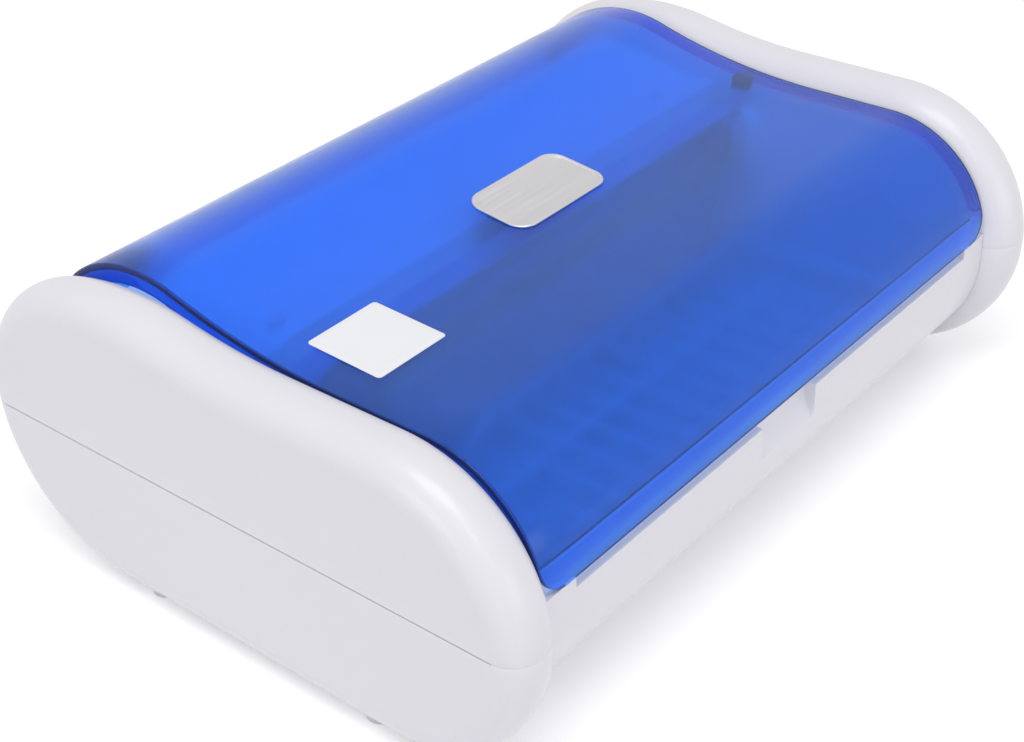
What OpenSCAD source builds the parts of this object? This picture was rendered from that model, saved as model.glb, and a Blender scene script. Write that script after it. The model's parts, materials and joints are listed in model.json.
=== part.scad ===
// Table-top ultraviolet sterilizer case with a hinged see-through lid.
// X runs along the case, -Y is the front, +Z is up, and the feet stand on Z = 0.

/* [Overall] */
// Length over both end caps
case_l = 357; // [336:1:430]
// Depth over the end caps
case_d = 271; // [262:1:330]
// Width of one end cap
cap_w = 26.5; // [25.5:0.5:36]
// Height of the rubber feet
foot_h = 3; // [2:0.5:6]

/* [End caps] */
// Radius of the caps' round front
cap_front_r = 62.3; // [60:0.1:66]
// How much larger the radius of the caps' round back is
cap_back_extra = 2.5; // [1:0.1:2.6]
// Height of the hump over the front part of the caps
cap_hump = 7.2; // [7:0.1:12]
// Distance from the caps' front to where the hump starts to rise
cap_rise_y = 115.5; // [105:0.5:125]
// Distance from the caps' back to the top of the hump
cap_peak_y = 80.5; // [78:0.5:88]
// Radius of the roll on the side of the lid
roll_in_r = 14; // [10:0.5:14]
// Radius of the roll at the outer face
roll_out_r = 11.2; // [6:0.2:11.4]
// Wall of the end caps
cap_t = 2.5; // [1.8:0.1:3]
// Height of the line where the caps part
part_z = 67.3; // [60:0.1:72]

/* [Lid] */
// Distance from the caps' front to the lid's front
lid_front_in = 10.3; // [8:0.1:12]
// Distance from the caps' back to the lid's back
lid_back_in = 12.7; // [12:0.1:18]
// Radius of the lid's round front
lid_front_r = 48.6; // [44:0.1:52]
// Height of the lid's lower front edge
lid_edge_z = 74.3; // [73.5:0.1:80]
// Height of the lid's flat part
lid_flat_z = 120.7; // [119:0.1:124]
// Radius of the lid's hump
lid_hump_r = 60.4; // [58:0.1:62]
// Height of the lid's hump over its flat part
lid_hump = 14.9; // [13:0.1:16]
// Distance from the lid's front to where the hump starts to rise
lid_rise_y = 87.2; // [80:0.1:95]
// Thickness of the lid
lid_t = 2.6; // [2:0.1:3]
// Depth of the flange at each end of the lid
lid_flange = 5.5; // [5:0.5:9]
// Radius of the lid's front corners
lid_corner = 12; // [3:0.5:12]
// Gap between the lid's ends and the caps
lid_gap = 0.4; // [0.3:0.1:1]
// Distance from the lid's back to the hinge line
hinge_in = 12; // [11:0.5:13]
// Height of the hinge line
hinge_z = 90; // [88:0.5:92]
// Diameter of the hinge pins
pin_d = 6; // [4:0.5:7]
// Radial clearance of the pins in the lid
pin_gap = 0.05; // [0.02:0.01:0.1]

/* [Base] */
// Radius of the base's rounded long edges
base_r = 53; // [50:0.1:54]
// Height of the base's flat underside
base_z = 9; // [8:0.1:12]
// Wall of the base
base_t = 2.5; // [2:0.1:3]
// Height of the front ledge below the lid
ledge_z = 70; // [68:0.1:71]
// Top of the base's back wall
back_wall_z = 72.5; // [70:0.1:72.5]
// Width of the finger recess
recess_w = 37; // [28:1:60]
// Depth of the finger recess into the front wall
recess_d = 4.6; // [4.4:0.1:7]
// Height of the finger recess
recess_h = 16; // [13:0.5:18]
// Height of the recess's upright part below the ledge
recess_flat = 2.5; // [2:0.1:5]
// Radius of the recess's lower corners
recess_r = 5; // [3:0.5:8]
// Sideways place of the finger recess
recess_x = -3.5; // [-20:0.5:20]

// Length of the raised rests under the lid's front corners
rest_l = 17; // [8:0.5:20]

/* [Inner tub] */
// Wall of the inner tub and the back cover
tub_t = 2.2; // [1.6:0.1:2.6]
// Gap between the base and the inner tub
tub_gap = 2.1; // [1.5:0.1:3]
// Height of the tub's floor
floor_z = 22.2; // [21:0.1:26]
// Top of the tub's front lip inside the lid
lip_z = 82; // [80:0.5:86]
// Front face of the wall behind the lamp
wall_y = 14; // [10:0.5:20]
// Top of the wall behind the lamp
wall_z = 108; // [104:0.5:110]
// Rise of the back cover over that wall at its back
cover_rise = 8; // [4:0.5:9]
// Back face of the back cover's top
cover_y = 89; // [84:0.5:89.5]

/* [Lamp] */
// Diameter of the lamp tube
tube_d = 16; // [12:0.5:20]
// Depth of each lamp holder
holder_w = 7.8; // [6:0.1:10]
// Height of the lamp's axis
tube_z = 93; // [88:0.5:94]
// Half the height of the reflector behind the lamp
refl_r = 14; // [12:0.5:15]
// Thickness of the reflector sheet
refl_t = 0.8; // [0.6:0.1:1.2]

/* [Tray] */
// Distance from the tray to the end walls
tray_in = 16; // [12:1:24]
// Depth of the wire tray
tray_d = 96; // [80:1:98]
// Diameter of the tray's rim and legs
rim_wire = 3; // [2.5:0.1:4]
// Diameter of the tray's cross wires
cross_wire = 2; // [1.6:0.1:2.4]
// Number of cross wires
cross_n = 15; // [11:2:27]
// Height of the tray's rim over the tub's floor
tray_h = 22; // [16:1:28]
// Drop of the tray's bottom below its rim
tray_drop = 9; // [6:0.5:12]

/* [Badges] */
// Length of the blank badge plate
badge_l = 56; // [40:1:70]
// Depth of the blank badge plate
badge_w = 31; // [20:1:36]
// Side of the blank notice label
label_s = 35; // [25:1:45]
// Distance from the lid's left end to the label's middle
label_x = 33.2; // [26:0.1:60]

/* [Back panel] */
// Width of the recessed panel in the back wall
panel_w = 68; // [60:1:90]
// Height of the recessed panel
panel_h = 22; // [20:0.5:22]
// Height of the panel's middle
panel_z = 53; // [53:0.5:55]
// Tilt of the switch rocker
rocker_deg = 9; // [6:1:12]

/* [Hidden] */

$fn = 48;
eps = 0.01;
front_y = -case_d / 2;
back_y = case_d / 2;
half_in = case_l / 2 - cap_w;
arc_step = 6;

// End cap outline
cap_bot_z = foot_h;
cap_back_r = cap_front_r + cap_back_extra;
cf = [front_y + cap_front_r, cap_bot_z + cap_front_r];
cb = [back_y - cap_back_r, cap_bot_z + cap_back_r];
cap_flat_z = cap_bot_z + 2 * cap_front_r;
cap_peak = [back_y - cap_peak_y, cap_flat_z + cap_hump];
cap_hump_r = hump_radius(cap_peak, cb, cap_back_r);
cap_hump_c = [cap_peak[0], cap_peak[1] - cap_hump_r];
cap_rise = front_y + cap_rise_y;
cap_dip_r = dip_radius(cap_peak[0] - cap_rise, cap_hump, cap_hump_r);
cap_dip_c = [cap_rise, cap_flat_z + cap_dip_r];
cap_dip_a = dip_angle(cap_peak[0] - cap_rise, cap_hump, cap_hump_r, cap_dip_r);
cap_join_a = atan2(cb[1] - cap_hump_c[1], cb[0] - cap_hump_c[0]);

// Lid outline
lid_y = front_y + lid_front_in;
lid_back = back_y - lid_back_in;
lf = [lid_y + lid_front_r, lid_flat_z - lid_front_r];
lid_half = half_in - lid_gap;
lid_hump_c = [lid_back - lid_hump_r, lid_flat_z + lid_hump - lid_hump_r];
lid_rise = lid_y + lid_rise_y;
lid_dip_r = dip_radius(lid_hump_c[0] - lid_rise, lid_hump, lid_hump_r);
lid_dip_c = [lid_rise, lid_flat_z + lid_dip_r];
lid_dip_a = dip_angle(lid_hump_c[0] - lid_rise, lid_hump, lid_hump_r, lid_dip_r);
hinge = [lid_back - hinge_in, hinge_z];
ear_r = pin_d / 2 + 5;

// Base outline
base_y = lid_y + 0.4;
bf = [base_y + base_r, base_z + base_r];
bb = [lid_back - base_r, base_z + base_r];
lip_out = base_y + base_t + tub_gap;
tub_r = base_r - base_t - tub_gap;
tub_under_z = floor_z - tub_t;
tub_half = half_in - 0.3;
gutter_z = hinge_z - norm([hinge_in, hinge_z - lid_hump_c[1]]) - 1;

// Lamp places
tube_l = 2 * (half_in - holder_w);
tube_y = wall_y - refl_t - refl_r;
tube_cap_l = 12;
lamp_pin_d = 2.4;
lamp_pin_gap = 4.75;
lamp_pin_l = 4.5;

// Back panel places
panel_t = 2.5;
panel_y = lid_back - 6.5;
panel_lo = panel_z - panel_h / 2;
inlet_x = -15;
switch_x = 16;
inlet_w = 22;
inlet_h = 15;
inlet_l = 18;
socket_w = 17;
socket_h = 9.6;
socket_l = 12;
inlet_pin_d = 2.4;
inlet_pin_gap = 8.6;
switch_w = 19;
switch_h = 13;
switch_l = 14;
bezel = 1.5;
rocker_w = 15;
rocker_h = 10;
rocker_r = 9;
rocker_gap = 0.4;

// Electric parts in the back compartment
comp_floor = base_z + base_t;
comp_y = (wall_y + tub_t + cover_y - tub_t) / 2;
access_x = half_in - 24;
ballast_x = -access_x + 62;
ballast_l = 82;
ballast_w = 36;
ballast_h = 28;
ballast_foot = 1.5;
terminal_x = access_x - 108;
terminal_n = 6;
terminal_pitch = 8;
starter_x = access_x - 33;
starter_d = 21.5;
starter_h = 37;
starter_seat = 12;
fuse_x = access_x - 66;
fuse_d = 5.2;
fuse_l = 20;

// Screws and bosses
screw_d = 3;
screw_head_d = 6;
screw_head_h = 2.2;
boss_d = 8;
hole_gap = 0.2;
cap_boss_x = half_in + 15;
cap_boss_y = [cf[0], cb[0]];
cap_boss_top = cap_bot_z + 22;
end_boss_l = 12;
end_bosses = [
  [bf[0] + 2, (base_z + base_t + tub_under_z) / 2],
  [wall_y + tub_t + 8, base_z + base_t + 5],
  [bb[0], base_z + base_t + 5],
  [lid_back - base_t - 7.5, base_z + base_r - 12]
];
access_y = [wall_y + 14, bb[0] - 6];
panel_edge = 9;
cover_screw_x = [-120, 0, 120];
post_y = wall_y + tub_t + 9;

// Mount feet
foot_d = 12;
foot_x = case_l / 2 - roll_out_r - (cap_w - roll_in_r - roll_out_r) / 2;
foot_y = [cf[0] + 14, cb[0] - 14];

// Geometry helpers

// Radius of the hump arc that meets the round back of radius rb about c and peaks at p
function hump_radius(p, c, rb) =
  let (q = p[1] - c[1], dy = c[0] - p[0])
  (q * q + dy * dy - rb * rb) / (2 * (q - rb));

// Radius of the hollow arc that leaves the flat and meets the hump arc, run apart and rise high
function dip_radius(run, rise, hump_r) = (run * run / rise + rise) / 2 - hump_r;

// Angle that the hollow arc turns through
function dip_angle(run, rise, hump_r, dip_r) = atan2(run, dip_r + hump_r - rise);

// Points on an arc about c, from angle a to angle b, both in degrees
function arc(c, r, a, b, skip = 0) =
  let (n = max(2, ceil(abs(b - a) / arc_step)))
  [for (i = [skip:n]) let (t = a + (b - a) * i / n) c + r * [cos(t), sin(t)]];

// Closed outline of an end cap, drawn in by d
function cap_ring(d) = concat(
  arc(cf, cap_front_r - d, 270, 90),
  arc(cap_dip_c, cap_dip_r + d, 270, 270 + cap_dip_a),
  arc(cap_hump_c, cap_hump_r - d, 90 + cap_dip_a, cap_join_a, 1),
  arc(cb, cap_back_r - d, cap_join_a, -90, 1)
);

// Open outline of the lid from its front edge to its back edge, drawn in by d, between two heights
function lid_line(d, z0, z1) = concat(
  arc(lf, lid_front_r - d, 180 - asin((z0 - lf[1]) / (lid_front_r - d)), 90),
  arc(lid_dip_c, lid_dip_r + d, 270, 270 + lid_dip_a),
  arc(lid_hump_c, lid_hump_r - d, 90 + lid_dip_a, asin((z1 - lid_hump_c[1]) / (lid_hump_r - d)), 1)
);

function reversed(v) = [for (i = [len(v) - 1:-1:0]) v[i]];

// Depth and inset of each ring of an end cap whose wall is drawn in by t
function cap_stations(t) = concat(
  [for (i = [0:5]) let (a = 18 * i)
    [half_in + roll_in_r - (roll_in_r - t) * cos(a), roll_in_r - (roll_in_r - t) * sin(a)]],
  [for (i = [0:5]) let (a = 18 * i)
    [case_l / 2 - roll_out_r + (roll_out_r - t) * sin(a), roll_out_r - (roll_out_r - t) * cos(a)]]
);

// Solid of an end cap, drawn in by t
module cap_block(t) {
  st = cap_stations(t);
  n = len(cap_ring(0));
  m = len(st);
  pts = [for (s = st) each [for (p = cap_ring(s[1])) [s[0], p[0], p[1]]]];
  mids = [for (s = [st[0], st[m - 1]]) [s[0], 0, cap_flat_z / 2]];
  sides = [for (j = [0:m - 2], i = [0:n - 1]) each
    let (a = j * n + i, b = j * n + (i + 1) % n) [[a, b, a + n], [b, b + n, a + n]]];
  ends = [for (i = [0:n - 1]) each
    let (a = i, b = (i + 1) % n, z = (m - 1) * n) [[m * n, b, a], [m * n + 1, z + a, z + b]]];
  polyhedron(points = concat(pts, mids), faces = concat(sides, ends));
}

// Extrudes an outline drawn in Y and Z along X, from x0 to x1
module along_x(x0, x1) {
  translate([x0, 0, 0]) rotate([90, 0, 90]) linear_extrude(x1 - x0) children();
}

// Cylinder along X
module rod_x(d, x0, x1, y, z) {
  translate([x0, y, z]) rotate([0, 90, 0]) cylinder(d = d, h = x1 - x0);
}

module box(x0, x1, y0, y1, z0, z1) {
  translate([x0, y0, z0]) cube([x1 - x0, y1 - y0, z1 - z0]);
}

module both_ends() {
  children();
  mirror([1, 0, 0]) children();
}

// Pan-head screw along +Z whose head's underside is at the origin
module screw(l) {
  translate([0, 0, -screw_head_h]) cylinder(d = screw_head_d, h = screw_head_h);
  translate([0, 0, -eps]) cylinder(d = screw_d, h = l + eps);
}

// End caps

module cap_shell() {
  difference() {
    cap_block(0);
    cap_block(cap_t);
  }
}

module cap_upper() {
  difference() {
    union() {
      intersection() {
        cap_shell();
        box(0, case_l, front_y - 1, back_y + 1, part_z, 2 * cap_flat_z);
      }
      rod_x(pin_d + 2 * cap_t, half_in + cap_t - eps, half_in + cap_t + 7, hinge[0], hinge[1]);
      intersection() {
        cap_block(cap_t / 2);
        for (y = cap_boss_y) translate([cap_boss_x, y, cap_boss_top]) {
          cylinder(d = boss_d, h = 2 * cap_flat_z);
        }
      }
    }
    rod_x(pin_d, half_in - 1, half_in + cap_t + 6, hinge[0], hinge[1]);
    for (y = cap_boss_y) translate([cap_boss_x, y, cap_boss_top - 1]) cylinder(d = screw_d, h = 16);
  }
}

module cap_lower() {
  difference() {
    union() {
      intersection() {
        cap_shell();
        box(0, case_l, front_y - 1, back_y + 1, 0, part_z);
      }
      for (y = cap_boss_y) translate([cap_boss_x, y, cap_bot_z + cap_t / 2]) {
        cylinder(d = boss_d + 2, h = cap_boss_top - cap_bot_z - cap_t / 2);
      }
      for (y = foot_y) translate([foot_x, y, cap_bot_z]) cylinder(d = foot_d + 2, h = 4);
    }
    for (y = cap_boss_y) translate([cap_boss_x, y, 0]) {
      cylinder(d = screw_d + 2 * hole_gap, h = cap_boss_top + 1);
      cylinder(d = screw_head_d + 2 * hole_gap, h = cap_bot_z + cap_t + screw_head_h);
    }
    for (b = end_bosses) {
      rod_x(screw_d + 2 * hole_gap, half_in - 1, half_in + cap_t + 1, b[0], b[1]);
      rod_x(screw_head_d + 2 * hole_gap, half_in + cap_t, half_in + cap_t + 6, b[0], b[1]);
    }
  }
}

module right_cap_upper() { color("white") cap_upper(); }
module right_cap_lower() { color("white") cap_lower(); }
module left_cap_upper() { color("white") mirror([1, 0, 0]) cap_upper(); }
module left_cap_lower() { color("white") mirror([1, 0, 0]) cap_lower(); }

// Base

// Rounded lower half of the base's outline, drawn in by d
module base_bowl(d) {
  r = base_r - d;
  intersection() {
    translate(bf) circle(r);
    translate(bf - [r + 1, r + 1]) square(r + 1);
  }
  intersection() {
    translate(bb) circle(r);
    translate(bb - [0, r + 1]) square(r + 1);
  }
  translate([bf[0], bf[1] - r]) square([bb[0] - bf[0], r]);
}

module base_outline(d, top_front, top_back) {
  base_bowl(d);
  polygon([
    [base_y + d, bf[1]], [lid_back - d, bb[1]], [lid_back - d, top_back],
    [bb[0], top_back], [bf[0], top_front], [base_y + d, top_front]
  ]);
}

module base_hollow() {
  base_bowl(base_t);
  polygon([
    [base_y + base_t, bf[1]], [lid_back - base_t, bb[1]], [lid_back - base_t, back_wall_z + 1],
    [lip_out, back_wall_z + 1], [lip_out, ledge_z - base_t], [base_y + base_t, ledge_z - base_t]
  ]);
}

module base_shell() {
  color("whitesmoke") difference() {
    union() {
      along_x(-half_in, half_in) difference() {
        base_outline(0, ledge_z, back_wall_z);
        base_hollow();
      }
      recess_cup();
      panel_cup();
      for (x = [-90, 0, 90]) tub_rest(x);
      both_ends() for (b = end_bosses) end_boss(b);
      for (x = [-access_x, access_x], y = access_y) translate([x, y, base_z]) cylinder(d = boss_d, h = 12);
    }
    recess_cut();
    box(-panel_w / 2, panel_w / 2, panel_y, lid_back + 1, panel_lo, panel_lo + panel_h);
    panel_holes();
    both_ends() for (b = end_bosses) rod_x(screw_d, half_in - end_boss_l + 1, half_in + 1, b[0], b[1]);
    access_cut();
    for (x = [-access_x, access_x], y = access_y) {
      translate([x, y, base_z - 1]) cylinder(d = screw_d, h = 11);
    }
  }
}

// Scooped finger recess below the ledge
module recess_cut() {
  h = recess_h - recess_flat;
  r = (h * h + recess_d * recess_d) / (2 * recess_d);
  intersection() {
    along_x(recess_x - recess_w, recess_x + recess_w) translate([base_y, ledge_z - recess_flat]) {
      translate([recess_d - r, 0]) circle(r);
      translate([-2, 0]) square([recess_d + 2, recess_flat + 1]);
    }
    translate([recess_x, base_y + recess_d + 1, ledge_z]) rotate([90, 0, 0]) {
      linear_extrude(recess_d + 3) rounded_plate(recess_w, 2 * recess_h, recess_r);
    }
  }
}

// Wall behind the finger recess
module recess_cup() {
  w = recess_w / 2 + base_t;
  along_x(recess_x - w, recess_x + w) intersection() {
    base_outline(0, ledge_z, back_wall_z);
    translate([base_y, ledge_z - recess_h - base_t]) square([tub_gap + base_t, recess_h + base_t]);
  }
}

// Walls round the recessed back panel
module panel_cup() {
  along_x(-panel_w / 2 - panel_t, panel_w / 2 + panel_t) intersection() {
    base_outline(0, ledge_z, back_wall_z);
    translate([panel_y - panel_t, panel_lo - panel_t]) square([20, panel_h + 2 * panel_t]);
  }
}

module panel_holes() {
  box(inlet_x - inlet_w / 2, inlet_x + inlet_w / 2, panel_y - panel_t - 1, panel_y + 1,
    panel_z - inlet_h / 2, panel_z + inlet_h / 2);
  box(switch_x - switch_w / 2, switch_x + switch_w / 2, panel_y - panel_t - 1, panel_y + 1,
    panel_z - switch_h / 2, panel_z + switch_h / 2);
}

// Cross rib that carries the inner tub
module tub_rest(x) {
  along_x(x - 1, x + 1) intersection() {
    base_outline(base_t / 2, ledge_z - base_t, back_wall_z);
    translate([bf[0] - 18, base_z]) square([wall_y - bf[0] + 18, tub_under_z - base_z]);
  }
}

// Boss along X for a screw through the end cap's inner wall
module end_boss(b) {
  rod_x(boss_d, half_in - end_boss_l, half_in, b[0], b[1]);
  along_x(half_in - end_boss_l, half_in) intersection() {
    base_outline(base_t / 2, ledge_z - base_t, back_wall_z - 4);
    translate([b[0] - 1, b[1]]) rotate(b[1] > 40 ? -90 : 180) translate([-1, 0]) square([2, 12]);
  }
}

// Opening in the underside that the bottom panel closes
module access_cut() {
  box(-access_x + panel_edge, access_x - panel_edge, access_y[0] - 4, access_y[1] + 4,
    base_z - 1, base_z + base_t + 1);
}

module bottom_panel() {
  color("gainsboro") difference() {
    union() {
      box(-access_x - panel_edge, access_x + panel_edge, access_y[0] - panel_edge, access_y[1] + panel_edge,
        base_z - 2, base_z);
      box(-access_x + panel_edge + 1, access_x - panel_edge - 1, access_y[0] - 3, access_y[1] + 3,
        base_z - eps, base_z + base_t);
    }
    for (x = [-access_x, access_x], y = access_y) translate([x, y, 0]) {
      cylinder(d = screw_d + 2 * hole_gap, h = 2 * base_z);
    }
    for (i = [-4:4]) {
      box(i * 18 - 6, i * 18 + 6, access_y[0] + 12, access_y[0] + 15, base_z - 3, base_z + base_t + 1);
    }
  }
}

// Inner tub and back cover

// Rounded lower front of the tub, drawn in by d, down to the height z
module tub_bowl(d, z) {
  r = tub_r - d;
  intersection() {
    translate(bf) circle(r);
    translate([bf[0] - r - 1, z]) square([r + 1, bf[1] - z]);
  }
  translate([bf[0], z]) square([wall_y + tub_t - d - bf[0], bf[1] - z]);
}

module tub_outline() {
  difference() {
    union() {
      tub_bowl(0, tub_under_z);
      translate([lip_out, bf[1]]) square([wall_y + tub_t - lip_out, lip_z - bf[1]]);
      translate([wall_y, bf[1]]) square([tub_t, wall_z - bf[1]]);
    }
    tub_bowl(tub_t, floor_z);
    translate([lip_out + tub_t, bf[1] - 1]) square([wall_y - lip_out - tub_t, wall_z]);
  }
}

module inner_tub() {
  color("white") difference() {
    union() {
      along_x(-tub_half, tub_half) tub_outline();
      for (x = cover_screw_x) screw_post(x);
    }
    for (x = cover_screw_x) translate([x, post_y, wall_z - 12]) cylinder(d = screw_d, h = 20);
  }
}

// Post behind the wall that takes a cover screw
module screw_post(x) {
  translate([x, post_y, wall_z - 14]) cylinder(d = boss_d, h = 14);
  box(x - 1, x + 1, wall_y + tub_t - eps, post_y, wall_z - 14, wall_z);
}

module rear_cover() {
  z0 = wall_z;
  z1 = wall_z + cover_rise;
  y1 = lid_back - base_t;
  color("white") difference() {
    along_x(-tub_half, tub_half) polygon([
      [wall_y, z0], [wall_y, z0 + tub_t], [wall_y + 18, z0 + tub_t], [cover_y - 8, z1 + tub_t],
      [cover_y, z1 - 4], [cover_y, gutter_z], [y1, gutter_z], [y1, gutter_z - tub_t],
      [cover_y - tub_t, gutter_z - tub_t], [cover_y - tub_t, z1 - 5], [cover_y - 9, z1],
      [wall_y + 18, z0]
    ]);
    for (x = cover_screw_x) translate([x, post_y, wall_z - 1]) cylinder(d = screw_d + 2 * hole_gap, h = 9);
  }
}

// Lid

// Curved skin between two insets, from the front edge to the back edge
module lid_band(d0, d1, z0, z1) {
  polygon(concat(lid_line(d0, z0, z1), reversed(lid_line(d1, z0, z1))));
}

module lid() {
  color("royalblue", 0.7) difference() {
    union() {
      along_x(-lid_half, lid_half) lid_band(0, lid_t, lid_edge_z, lid_hump_c[1]);
      both_ends() {
        along_x(lid_half - lid_t, lid_half) {
          lid_band(lid_t / 2, lid_t + lid_flange, lid_edge_z + 12, lid_hump_c[1] + 4);
        }
        rod_x(2 * ear_r, lid_half - lid_t, lid_half, hinge[0], hinge[1]);
      }
    }
    both_ends() rod_x(pin_d + 2 * pin_gap, lid_half - 2 * lid_t, half_in + 1, hinge[0], hinge[1]);
    both_ends() lid_corner_cut();
  }
}

// What is cut away outside a round front corner of the lid
module lid_corner_cut() {
  x = lid_half - lid_corner;
  z = lid_edge_z + lid_corner;
  difference() {
    box(x, lid_half + 1, front_y, 0, lid_edge_z - 1, z);
    translate([x, 1, z]) rotate([90, 0, 0]) cylinder(r = lid_corner, h = 2 - front_y);
  }
}

// Sheet that follows the lid's top between two places along Y
module on_lid(y0, y1, d0, d1) {
  along_x(-lid_half, lid_half) intersection() {
    lid_band(d0, d1, lid_edge_z + 12, lid_hump_c[1]);
    translate([y0, lid_flat_z - 20]) square([y1 - y0, 60]);
  }
}

// Rectangle with round corners, in plan
module rounded_plate(l, w, r) {
  square([l - 2 * r, w], center = true);
  square([l, w - 2 * r], center = true);
  for (x = [-1, 1], y = [-1, 1]) translate([x * (l / 2 - r), y * (w / 2 - r)]) circle(r);
}

badge_c = [0, lid_rise + 35.5];
label_c = [-lid_half + label_x, lid_rise + 13.2];

module badge_plate() {
  color("silver") intersection() {
    on_lid(badge_c[1] - badge_w, badge_c[1] + badge_w, -1.2, 0);
    translate([badge_c[0], badge_c[1], lid_flat_z - 5]) {
      linear_extrude(30) rounded_plate(badge_l, badge_w, 8);
    }
  }
}

module notice_label() {
  color("white") intersection() {
    on_lid(label_c[1] - label_s, label_c[1] + label_s, -0.3, 0);
    translate([label_c[0], label_c[1], lid_flat_z - 5]) {
      linear_extrude(30) rounded_plate(label_s, label_s, 2);
    }
  }
}

magnet_y = lid_rise + 35.6;
magnet_z = lid_flat_z - lid_t - 6;

module lid_magnet() {
  color("dimgray") translate([lid_half - lid_t - 4, magnet_y - 4, magnet_z]) cube([4, 8, 5]);
}

module reed_switch() {
  color("darkslategray") translate([half_in + cap_t, magnet_y - 12, cap_flat_z - roll_in_r - 8]) {
    cube([6, 24, 7]);
  }
}

module lid_rests() {
  color("whitesmoke") both_ends() box(half_in - rest_l, half_in, base_y, lip_out, ledge_z, lid_edge_z);
}

// Hinge pins

module hinge_pin() {
  rod_x(pin_d, lid_half - lid_t - 1, half_in + cap_t + 6, hinge[0], hinge[1]);
}

module hinge_pin_right() { color("lightgray") hinge_pin(); }
module hinge_pin_left() { color("lightgray") mirror([1, 0, 0]) hinge_pin(); }

// Lamp

module uv_tube() {
  x = tube_l / 2 - tube_cap_l;
  color("aliceblue") difference() {
    rod_x(tube_d, -x, x, tube_y, tube_z);
    rod_x(tube_d - 2, -x - 1, x + 1, tube_y, tube_z);
  }
}

module uv_tube_ends() {
  color("silver") both_ends() {
    x1 = tube_l / 2;
    difference() {
      rod_x(tube_d, x1 - tube_cap_l, x1, tube_y, tube_z);
      rod_x(tube_d - 4, x1 - tube_cap_l - 1, x1 - 2, tube_y, tube_z);
    }
    for (s = [-1, 1]) {
      rod_x(lamp_pin_d, x1 - eps, x1 + lamp_pin_l, tube_y, tube_z + s * lamp_pin_gap / 2);
    }
  }
}

module lamp_holder() {
  x0 = tube_l / 2;
  color("white") difference() {
    union() {
      rod_x(19, x0, half_in, tube_y, tube_z);
      box(x0, half_in, tube_y - 9.5, tube_y + 9.5, tube_z - 16, tube_z);
    }
    for (s = [-1, 1]) {
      rod_x(lamp_pin_d + 0.3, x0 - 1, x0 + lamp_pin_l + 0.4, tube_y, tube_z + s * lamp_pin_gap / 2);
    }
  }
}

module lamp_holder_right() { lamp_holder(); }
module lamp_holder_left() { mirror([1, 0, 0]) lamp_holder(); }

module reflector() {
  k = refl_t * tan(22.5);
  bend = 8;
  y0 = wall_y - bend;
  z0 = tube_z - refl_r;
  z1 = tube_z + refl_r;
  color("silver") along_x(-tube_l / 2 + 2, tube_l / 2 - 2) polygon([
    [tube_y - 6, z0], [y0, z0], [wall_y, z0 + bend], [wall_y, z1 - bend], [y0, z1], [tube_y - 6, z1],
    [tube_y - 6, z1 - refl_t], [y0 - k, z1 - refl_t], [wall_y - refl_t, z1 - bend - k],
    [wall_y - refl_t, z0 + bend + k], [y0 - k, z0 + refl_t], [tube_y - 6, z0 + refl_t]
  ]);
}

// Electric parts

module ballast() {
  color("dimgray") {
    translate([ballast_x - ballast_l / 2, comp_y - ballast_w / 2, comp_floor + ballast_foot]) {
      cube([ballast_l, ballast_w, ballast_h]);
    }
    difference() {
      translate([ballast_x - ballast_l / 2 - 10, comp_y - ballast_w / 2, comp_floor]) {
        cube([ballast_l + 20, ballast_w, ballast_foot + eps]);
      }
      for (s = [-1, 1]) translate([ballast_x + s * (ballast_l / 2 + 5), comp_y, comp_floor - 1]) {
        cylinder(d = 4.2, h = 5);
      }
    }
  }
}

module starter_socket() {
  color("white") translate([starter_x, comp_y, comp_floor]) difference() {
    cylinder(d = starter_d + 5, h = starter_seat);
    translate([0, 0, 4]) cylinder(d = starter_d + 0.4, h = starter_seat);
  }
}

module starter() {
  color("gainsboro") translate([starter_x, comp_y, comp_floor + 4]) {
    cylinder(d = starter_d, h = starter_h - 2);
    cylinder(d = starter_d - 4, h = starter_h);
  }
}

module terminal_block() {
  l = terminal_n * terminal_pitch;
  color("ivory") translate([terminal_x - l / 2, comp_y - 8, comp_floor]) difference() {
    union() {
      cube([l, 16, 8]);
      translate([0, 4, 0]) cube([l, 8, 13]);
    }
    for (i = [0:terminal_n - 1]) translate([(i + 0.5) * terminal_pitch, 8, 6]) {
      cylinder(d = 3.6, h = 10);
      translate([0, -9, -2.5]) rotate([-90, 0, 0]) cylinder(d = 3, h = 18);
    }
  }
}

module fuse_holder() {
  color("black") translate([fuse_x, comp_y, comp_floor]) difference() {
    translate([-6, -fuse_l / 2 - 2, 0]) cube([12, fuse_l + 4, 9]);
    translate([0, -fuse_l / 2, 9]) rotate([-90, 0, 0]) cylinder(d = fuse_d + 0.2, h = fuse_l);
  }
}

module fuse() {
  color("lightcyan") translate([fuse_x, comp_y - fuse_l / 2, comp_floor + 9]) {
    rotate([-90, 0, 0]) cylinder(d = fuse_d, h = fuse_l);
  }
}

// Back panel parts

module power_inlet() {
  w = inlet_w;
  color("black") translate([inlet_x, panel_y, panel_z]) difference() {
    union() {
      translate([-w / 2, -inlet_l, -inlet_h / 2]) cube([w, inlet_l, inlet_h]);
      translate([-w / 2 - bezel, 0, -inlet_h / 2 - bezel]) cube([w + 2 * bezel, 2, inlet_h + 2 * bezel]);
    }
    for (s = [-1, 1]) translate([s * (socket_w - socket_h) / 2, 2 - socket_l, 0]) {
      rotate([-90, 0, 0]) cylinder(d = socket_h, h = socket_l + 1);
    }
    translate([-(socket_w - socket_h) / 2, 2 - socket_l, -3.4]) {
      cube([socket_w - socket_h, socket_l + 1, 6.8]);
    }
    inlet_pin_rods();
  }
}

module inlet_pin_rods() {
  for (s = [-1, 1]) translate([s * inlet_pin_gap / 2, -inlet_l - 5, 0]) {
    rotate([-90, 0, 0]) cylinder(d = inlet_pin_d, h = inlet_l + 5);
  }
}

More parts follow.
